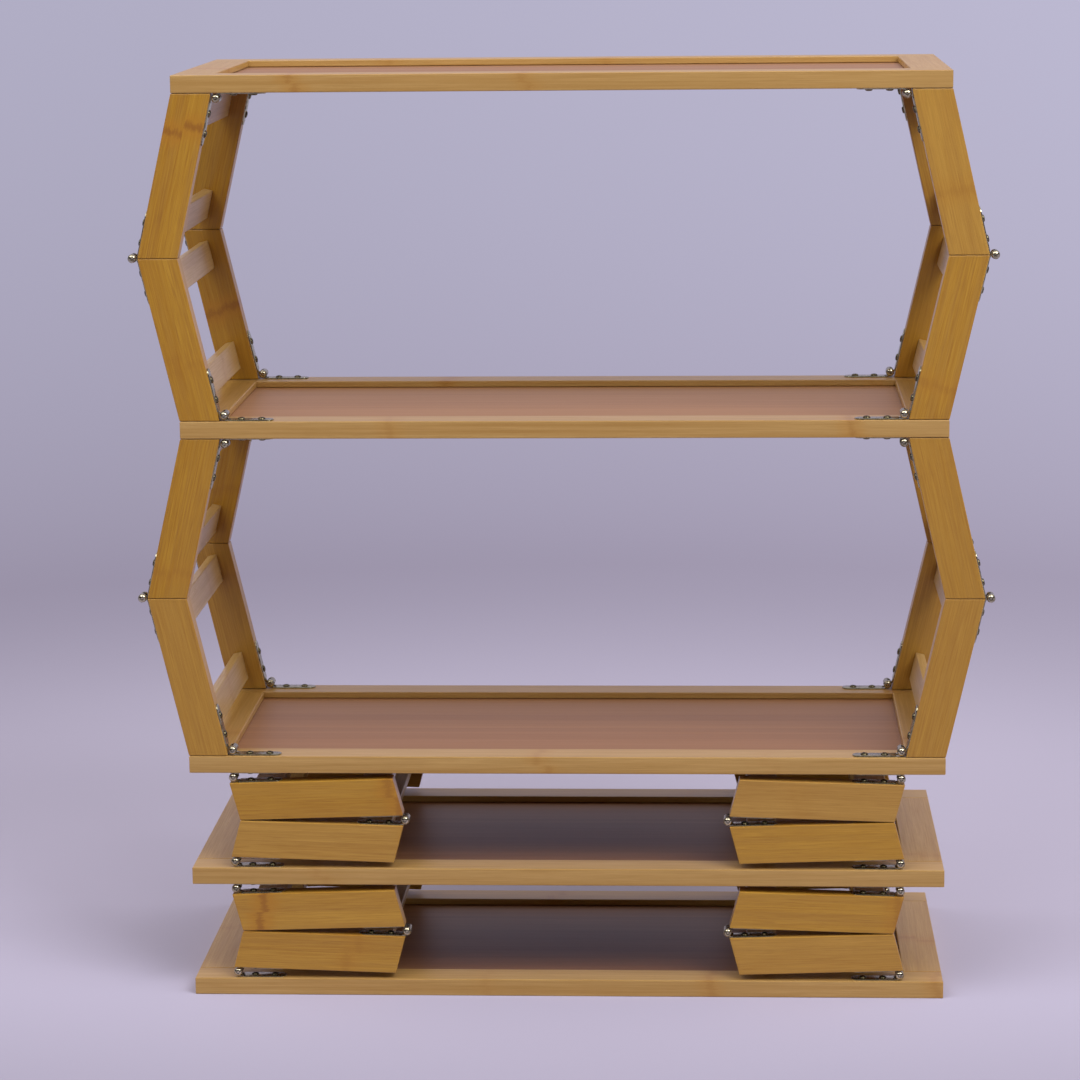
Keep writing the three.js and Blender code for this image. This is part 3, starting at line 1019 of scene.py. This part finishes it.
# %% Lathe
def lathed(name, profile, axis, segments):
    bm = bmesh.new()
    rings = []
    for radius, height in profile:
        count = segments if radius > 0 else 1
        turns = [2 * math.pi * i / count for i in range(count)]
        points = [
            Vector((radius * math.cos(turn), radius * math.sin(turn), height)) for turn in turns
        ]
        if axis == "y":
            points = [Vector((point.x, point.z, -point.y)) for point in points]
        rings.append([bm.verts.new(point) for point in points])
    for lower, upper in zip(rings, rings[1:]):
        for i in range(segments):
            quad = [lower[i % len(lower)], lower[(i + 1) % len(lower)],
                    upper[(i + 1) % len(upper)], upper[i % len(upper)]]
            bm.faces.new(dict.fromkeys(quad))
    bmesh.ops.recalc_face_normals(bm, faces=bm.faces)
    return blank(name, bm)


PIN_FACETS, SCREW_FACETS = 24, 20
print("pins have", PIN_FACETS, "facets and screws", SCREW_FACETS)

# %% Pin
dome_width, dome_height, pin_radius = 3.8 * mm, 2.2 * mm, 2.6 * mm
under_dome = half_hinge - 0.1 * mm
dome = [
    (dome_width * math.cos(steep), half_hinge + dome_height * math.sin(steep))
    for steep in map(math.radians, (0, 25, 45, 60))
]
dimple_rim, dimple_wall, dimple_depth = 1.55 * mm, 1.1 * mm, 0.95 * mm
dome_top = half_hinge + dome_height
one_end = [
    (pin_radius, under_dome), (dome_width, under_dome), *dome,
    (dimple_rim, dome_top - 0.2 * mm), (dimple_wall, dome_top - dimple_depth),
    (0, dome_top - 1.2 * dimple_depth),
]
other_end = [(radius, -height) for radius, height in reversed(one_end)]
pin = smooth_metal(lathed("pin", other_end + one_end, "y", PIN_FACETS))
print("pin", round(2 * dome_top / mm, 1), "mm long")

# %% Screw
head, shank = 3.5 * mm, 1.4 * mm
screw = lathed("screw", [
    (0, 1.75 * mm), (1.8 * mm, 1.66 * mm), (2.7 * mm, 1.4 * mm), (3.25 * mm, 0.95 * mm),
    (head, 0.4 * mm), (head, 0), (shank, 0), (shank, -6.5 * mm), (0, -8.5 * mm),
], "z", SCREW_FACETS)
slot_long, slot_wide, slot_floor = 2.1 * mm, 0.5 * mm, 0.7 * mm
quarter = [(slot_wide, slot_wide), (slot_wide, slot_long), (-slot_wide, slot_long)]
cross = []
for _ in range(4):
    cross += quarter
    quarter = [(-y, x) for x, y in quarter]
above_head = 2 * mm
bit = blank("driver_bit", swept([(x, y, slot_floor) for x, y in cross], (0, 0, above_head)))
cut = screw.modifiers.new("cross", "BOOLEAN")
cut.object = bit
cut.solver = "EXACT"
evaluated = screw.evaluated_get(bpy.context.evaluated_depsgraph_get())
cut_screw = bpy.data.meshes.new_from_object(evaluated)
screw.modifiers.remove(cut)
screw.data = cut_screw
bpy.data.objects.remove(bit)
smooth_metal(screw)
print("screw of", len(screw.data.polygons), "faces")

# %% [markdown]
# ## A tree that screws leaves down
#
# Every body has a handful of leaves. A mesh of loose points holds their pins, each with a turn and
# with a mark for the leaf that has the pin. The tree puts a leaf on every point, a pin on the
# marked ones and two screws on each leaf, turned at random as a driver leaves them.

# %% Leaves and pins on their points
hinge_tree, given = new_tree("screwed_leaves", {
    "Geometry": "NodeSocketGeometry", "Outer Leaf": "NodeSocketObject",
    "Inner Leaf": "NodeSocketObject", "Pin": "NodeSocketObject", "Screw": "NodeSocketObject",
    "First Screw": "NodeSocketFloat", "Screw Pitch": "NodeSocketFloat",
    "Head Seat": "NodeSocketFloat", "Seed": "NodeSocketInt",
    "Strap Metal": "NodeSocketMaterial", "Pin Metal": "NodeSocketMaterial",
    "Screw Metal": "NodeSocketMaterial",
})
points = given["Geometry"]
turn = add(
    hinge_tree, "GeometryNodeInputNamedAttribute", {"Name": "turn"}, data_type="QUATERNION"
)
has_pin = add(
    hinge_tree, "GeometryNodeInputNamedAttribute", {"Name": "has_pin"}, data_type="BOOLEAN"
)
no_pin = add(hinge_tree, "FunctionNodeBooleanMath", {0: has_pin}, operation="NOT")
plates = add(hinge_tree, "GeometryNodeJoinGeometry")
for label, chosen, metal in (
    ("Outer Leaf", has_pin, "Strap Metal"), ("Inner Leaf", no_pin, "Strap Metal"),
    ("Pin", has_pin, "Pin Metal"),
):
    info = add(hinge_tree, "GeometryNodeObjectInfo", {"Object": given[label]})
    placed = add(
        hinge_tree, "GeometryNodeInstanceOnPoints",
        {"Points": points, "Selection": chosen, "Instance": info.outputs["Geometry"],
         "Rotation": turn},
    )
    placed = add(hinge_tree, "GeometryNodeRealizeInstances", {"Geometry": placed})
    placed = add(
        hinge_tree, "GeometryNodeSetMaterial", {"Geometry": placed, "Material": given[metal]}
    )
    hinge_tree.links.new(placed.outputs[0], plates.inputs[0])
print("leaves and pins take", len(hinge_tree.nodes), "nodes")

# %% Screws in their holes
first = add(
    hinge_tree, "ShaderNodeCombineXYZ", {"X": given["First Screw"], "Z": given["Head Seat"]}
)
pitch = add(hinge_tree, "ShaderNodeCombineXYZ", {"X": given["Screw Pitch"]})
holes = add(
    hinge_tree, "GeometryNodeMeshLine", {"Count": 2, "Start Location": first, "Offset": pitch},
    mode="OFFSET",
)
holes = add(
    hinge_tree, "GeometryNodeInstanceOnPoints",
    {"Points": points, "Instance": holes, "Rotation": turn},
)
holes = add(hinge_tree, "GeometryNodeRealizeInstances", {"Geometry": holes})
stopped_at = add(
    hinge_tree, "FunctionNodeRandomValue", {"Min": 0.0, "Max": math.pi, "Seed": given["Seed"]},
    data_type="FLOAT",
)
driven = add(
    hinge_tree, "FunctionNodeAxisAngleToRotation",
    {"Axis": (0, 0, 1), "Angle": stopped_at.outputs[1]},
)
driven = add(
    hinge_tree, "FunctionNodeRotateRotation", {"Rotation": turn, "Rotate By": driven},
    rotation_space="LOCAL",
)
info = add(hinge_tree, "GeometryNodeObjectInfo", {"Object": given["Screw"]})
screws = add(
    hinge_tree, "GeometryNodeInstanceOnPoints",
    {"Points": holes, "Instance": info.outputs["Geometry"], "Rotation": driven},
)
screws = add(hinge_tree, "GeometryNodeRealizeInstances", {"Geometry": screws})
screws = add(
    hinge_tree, "GeometryNodeSetMaterial", {"Geometry": screws, "Material": given["Screw Metal"]}
)
hinges = add(hinge_tree, "GeometryNodeJoinGeometry", {0: screws})
hinge_tree.links.new(plates.outputs[0], hinges.inputs[0])
add(hinge_tree, "NodeGroupOutput", {0: hinges})
print(hinge_tree.name, "has", len(hinge_tree.nodes), "nodes")

# %% Points for a body's leaves
FIRST_SCREW, SCREW_PITCH = 15.4 * mm, 18.6 * mm


def leaf_mesh(leaves, seed):
    pins = bpy.data.meshes.new("pins")
    pins.from_pydata([pin_place for pin_place, _, _, _ in leaves], [], [])
    pins.attributes.new("turn", "QUATERNION", "POINT")
    pins.attributes.new("has_pin", "BOOLEAN", "POINT")
    turns, marks = pins.attributes["turn"], pins.attributes["has_pin"]
    for index, (_, x_axis, z_axis, marked) in enumerate(leaves):
        x_axis, z_axis = Vector(x_axis), Vector(z_axis)
        turned = Matrix((x_axis, z_axis.cross(x_axis), z_axis)).transposed()
        turns.data[index].value = turned.to_quaternion()
        marks.data[index].value = marked
    return grown(hinge_tree, {
        "Outer Leaf": outer_leaf, "Inner Leaf": inner_leaf, "Pin": pin, "Screw": screw,
        "First Screw": FIRST_SCREW, "Screw Pitch": SCREW_PITCH, "Head Seat": leaf_top,
        "Seed": seed, "Strap Metal": strap_brass, "Pin Metal": pin_brass,
        "Screw Metal": screw_brass_with_painted_shade,
    }, pins)


print("screws", round(SCREW_PITCH / mm, 1), "mm apart")

# %% Leaves on the shelves
rows = {"front": -STILE_CENTRE, "back": STILE_CENTRE}
for number in shelves:
    leaves, cad_nodes = [], []
    for tier, end, up in ((number, "foot", 1), (number - 1, "head", -1)):
        for side, inward in sides.items() if tier in tiers else ():
            shelf_pin = pin_at(tier, end, side)
            for row, y in rows.items():
                leaves.append(((shelf_pin.x, y, shelf_pin.z), (inward, 0, 0), (0, 0, up), True))
                cad_nodes.append(f"tier_{tier}_{end}_{side}_{row}_leaf")
    shelf = f"shelf_{number}"
    dress(f"{shelf}_hinges", leaf_mesh(leaves, number), shelf, "hinge_brass", *cad_nodes)
print("hinges on", len(shelves), "shelves")

# %% Leaves on the side frames
FIRST_FRAME_SEED = 50
for tier, level, side in side_frames:
    name = f"tier_{tier}_{level}_{side}"
    leaves = []
    for y in rows.values():
        leaves.append(((0, y, 0), (1, 0, 0), (0, 0, -1), False))
        leaves.append(((knee_pin.x, y, knee_pin.z), (-1, 0, 0), (0, 0, 1), level == "lower"))
    mesh = leaf_mesh(leaves, FIRST_FRAME_SEED + tier)
    mesh.transform(frame_place(tier, level, side))
    dress(f"{name}_hinges", mesh, name, "hinge_brass", f"{name}_frame")
print("hinges on", len(side_frames), "side frames")

# %% [markdown]
# ## The end
#
# The blanks that were copied aren't part of the rack, so they go.

# %% Clearing up
for pattern in (long_rail, end_rail, stile, slat, outer_leaf, inner_leaf, pin, screw):
    bpy.data.objects.remove(pattern)
